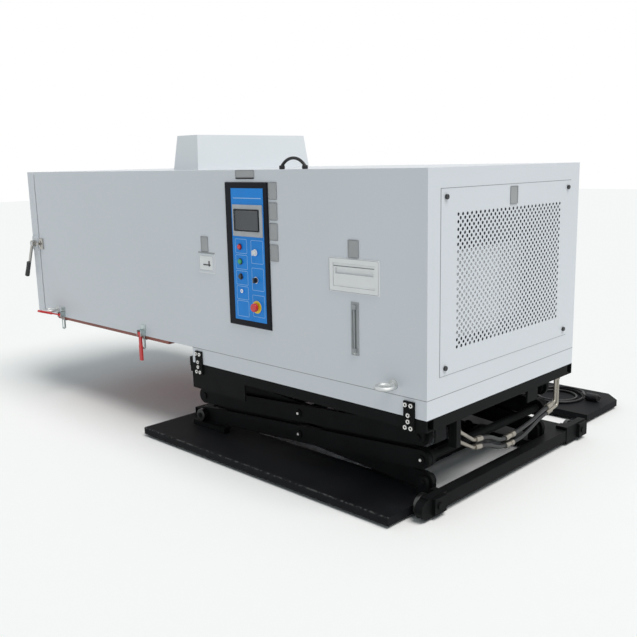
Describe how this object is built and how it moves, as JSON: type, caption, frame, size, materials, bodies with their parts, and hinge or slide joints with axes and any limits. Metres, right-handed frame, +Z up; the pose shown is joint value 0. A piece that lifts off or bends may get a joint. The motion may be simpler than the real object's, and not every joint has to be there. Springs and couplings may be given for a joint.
{
  "type": "environmental test chamber",
  "caption": "Long insulated temperature and humidity chamber that overhangs a scissor lift on a rail carriage, with a hinged end door, control plate, water drawer and clamped floor board.",
  "frame": {"origin": "on the rails, under the middle of the machine's outline", "axes": "+X along the long front face from the door end to the ventilated end, +Y from the front face to the rear, +Z up"},
  "size_m": [3.2369, 2.1985, 1.59],
  "materials": {
    "aluminium_fins": "bare fins",
    "black_paint": "matt paint",
    "black_plastic": "fine grain",
    "blue_plate": "satin",
    "board": "reddish brown coated board",
    "bright_steel": "polished",
    "drawer_plastic": "satin",
    "foam": "rigid foam",
    "green_plastic": "gloss",
    "grey_plastic": "fine grain",
    "hose_rubber": "semi-matt",
    "light_aluminium": "bare",
    "light_plastic": "gloss",
    "red_grip": "dipped vinyl",
    "red_plastic": "gloss",
    "seal": "matt",
    "stainless": "brushed",
    "wheel_steel": "machined and oiled",
    "white_paint": "satin powder coat",
    "zinc": "zinc plated"
  },
  "bodies": {
    "base": {"base_frame": "black_paint", "front_plate": "black_paint", "rear_plate": "black_paint", "cable_lead": "hose_rubber", "cable_coil": "hose_rubber", "cable_plug": "black_plastic"},
    "wheel_front_right": {"wheel_front_right": "wheel_steel"},
    "wheel_rear_right": {"wheel_rear_right": "wheel_steel"},
    "wheel_front_left": {"wheel_front_left": "wheel_steel"},
    "wheel_rear_left": {"wheel_rear_left": "wheel_steel"},
    "arms_low_inner": {"first_inner_arms": "black_paint"},
    "arms_low_outer": {"first_outer_arms": "black_paint"},
    "arms_high_inner": {"second_inner_arms": "black_paint"},
    "arms_high_outer": {"second_outer_arms": "black_paint"},
    "rollers_low": {"lower_rollers": "wheel_steel"},
    "rollers_high": {"upper_rollers": "wheel_steel"},
    "barrels": {"cylinder_barrels": "black_paint"},
    "rods": {"cylinder_rods": "bright_steel"},
    "door": {"door_shell": "white_paint", "door_gasket": "seal"},
    "latch": {"latch_lever": "stainless"},
    "clamp_left": {"clamp_handle_left": "red_grip"},
    "clamp_right": {"clamp_handle_right": "red_grip"},
    "drawer": {"drawer_tray": "drawer_plastic"},
    "flap": {"service_flap": "drawer_plastic"},
    "button_red": {"button_red": "red_plastic"},
    "button_green": {"button_green": "green_plastic"},
    "button_black": {"button_black": "black_plastic"},
    "rotary_light": {"rotary_light": "light_plastic"},
    "rotary_dark": {"rotary_dark": "black_plastic"},
    "stop": {"stop_button": "red_plastic"},
    "air_fan": {"circulation_fan": "light_aluminium"},
    "cooling_fan": {"condenser_fan": "light_aluminium"},
    "platform": {"air_coils": "aluminium_fins", "board_hooks": "zinc", "cabinet_liner": "stainless", "cabinet_shell": "white_paint", "clamp_bases": "zinc", "compressors": "black_paint", "condenser": "aluminium_fins", "control_bezel": "black_paint", "control_fascia": "blue_plate", "door_hardware": "stainless", "drawer_frame": "drawer_plastic", "eye_bolts": "bright_steel", "fan_motor": "light_aluminium", "floor_board": "board", "frame_straps": "black_paint", "hose_fittings": "bright_steel", "hose_lower": "hose_rubber", "hose_upper": "hose_rubber", "humidifier_tank": "white_paint", "insulation": "foam", "level_gauge": "light_aluminium", "roof_handle": "black_plastic", "roof_housing": "white_paint", "side_panel": "white_paint", "skirt": "white_paint", "top_frame": "black_paint", "touch_panel": "grey_plastic"}
  },
  "joints": [
    {"name": "lift_fold", "type": "hinge", "parent": "base", "child": "arms_low_inner", "pos_m": [1.49277, -0.33167, 0.1113], "axis": [0, 1, 0], "range_deg": [0, 12]},
    {"name": "low_centre", "type": "hinge", "parent": "arms_low_inner", "child": "arms_low_outer", "pos_m": [0.76777, -0.33167, 0.1628], "axis": [0, 1, 0], "range_deg": [-24, 0]},
    {"name": "middle_right", "type": "hinge", "parent": "arms_low_outer", "child": "arms_high_inner", "pos_m": [1.49277, -0.33167, 0.2143], "axis": [0, 1, 0], "range_deg": [0, 24]},
    {"name": "high_centre", "type": "hinge", "parent": "arms_high_inner", "child": "arms_high_outer", "pos_m": [0.76777, -0.33167, 0.2658], "axis": [0, 1, 0], "range_deg": [-24, 0]},
    {"name": "platform_pivot", "type": "hinge", "parent": "arms_high_outer", "child": "platform", "pos_m": [1.49277, -0.33167, 0.3173], "axis": [0, 1, 0], "range_deg": [0, 12]},
    {"name": "low_rollers_spin", "type": "hinge", "parent": "arms_low_outer", "child": "rollers_low", "pos_m": [0.04278, -0.33167, 0.1113], "axis": [0, 1, 0], "continuous": true},
    {"name": "high_rollers_spin", "type": "hinge", "parent": "arms_high_inner", "child": "rollers_high", "pos_m": [0.04278, -0.33167, 0.3173], "axis": [0, 1, 0], "continuous": true},
    {"name": "cylinder_foot", "type": "hinge", "parent": "base", "child": "barrels", "pos_m": [1.14768, -0.33167, 0.066], "axis": [0, 1, 0], "range_deg": [0, 17.84]},
    {"name": "cylinder_stroke", "type": "slide", "parent": "barrels", "child": "rods", "axis": [-0.9855, 0, 0.1698], "range_m": [0, 0.03129]},
    {"name": "wheel_front_right_roll", "type": "hinge", "parent": "base", "child": "wheel_front_right", "pos_m": [1.54177, -0.88667, 0.05], "axis": [1, 0, 0], "continuous": true},
    {"name": "wheel_rear_right_roll", "type": "hinge", "parent": "base", "child": "wheel_rear_right", "pos_m": [1.54177, 0.35833, 0.05], "axis": [1, 0, 0], "continuous": true},
    {"name": "wheel_front_left_roll", "type": "hinge", "parent": "base", "child": "wheel_front_left", "pos_m": [-0.05223, -0.63167, 0.05], "axis": [1, 0, 0], "continuous": true},
    {"name": "wheel_rear_left_roll", "type": "hinge", "parent": "base", "child": "wheel_rear_left", "pos_m": [-0.05223, -0.03167, 0.05], "axis": [1, 0, 0], "continuous": true},
    {"name": "door_swing", "type": "hinge", "parent": "platform", "child": "door", "pos_m": [-1.46822, 0.28233, 0.51], "axis": [0, 0, -1], "range_deg": [0, 110]},
    {"name": "latch_turn", "type": "hinge", "parent": "door", "child": "latch", "pos_m": [-1.51422, -0.93167, 0.96], "axis": [0, 1, 0], "range_deg": [0, 60]},
    {"name": "clamp_left_throw", "type": "hinge", "parent": "platform", "child": "clamp_left", "pos_m": [-1.22822, -0.95567, 0.524], "axis": [1, 0, 0], "range_deg": [0, 108]},
    {"name": "clamp_right_throw", "type": "hinge", "parent": "platform", "child": "clamp_right", "pos_m": [-0.34223, -0.95567, 0.524], "axis": [1, 0, 0], "range_deg": [-108, 0]},
    {"name": "drawer_slide", "type": "slide", "parent": "platform", "child": "drawer", "axis": [0, -1, 0], "range_m": [0, 0.26]},
    {"name": "flap_lift", "type": "hinge", "parent": "platform", "child": "flap", "pos_m": [0.25327, -0.93517, 0.992], "axis": [-1, 0, 0], "range_deg": [0, 95]},
    {"name": "button_red_press", "type": "slide", "parent": "platform", "child": "button_red", "axis": [0, 1, 0], "range_m": [0, 0.004], "stiffness_N_per_m": 600},
    {"name": "button_green_press", "type": "slide", "parent": "platform", "child": "button_green", "axis": [0, 1, 0], "range_m": [0, 0.004], "stiffness_N_per_m": 600},
    {"name": "button_black_press", "type": "slide", "parent": "platform", "child": "button_black", "axis": [0, 1, 0], "range_m": [0, 0.004], "stiffness_N_per_m": 600},
    {"name": "rotary_light_turn", "type": "hinge", "parent": "platform", "child": "rotary_light", "pos_m": [0.62977, -0.93167, 1.035], "axis": [0, 1, 0], "range_deg": [-45, 45]},
    {"name": "rotary_dark_turn", "type": "hinge", "parent": "platform", "child": "rotary_dark", "pos_m": [0.62977, -0.93167, 0.907], "axis": [0, 1, 0], "range_deg": [-45, 45]},
    {"name": "stop_press", "type": "slide", "parent": "platform", "child": "stop", "axis": [0, 1, 0], "range_m": [0, 0.006], "stiffness_N_per_m": 1500},
    {"name": "air_fan_spin", "type": "hinge", "parent": "platform", "child": "air_fan", "pos_m": [-0.13123, -0.33167, 1.41], "axis": [0, 0, 1], "continuous": true},
    {"name": "cooling_fan_spin", "type": "hinge", "parent": "platform", "child": "cooling_fan", "pos_m": [1.37777, -0.06167, 0.82], "axis": [1, 0, 0], "continuous": true}
  ],
  "couplings": [
    {"joint": "low_centre", "follows": "lift_fold", "ratio": -2},
    {"joint": "middle_right", "follows": "lift_fold", "ratio": 2},
    {"joint": "high_centre", "follows": "lift_fold", "ratio": -2},
    {"joint": "platform_pivot", "follows": "lift_fold", "ratio": 1},
    {"joint": "cylinder_foot", "follows": "lift_fold", "ratio": 1.4704},
    {"joint": "cylinder_stroke", "follows": "lift_fold", "m_per_rad": 0.14463}
  ]
}
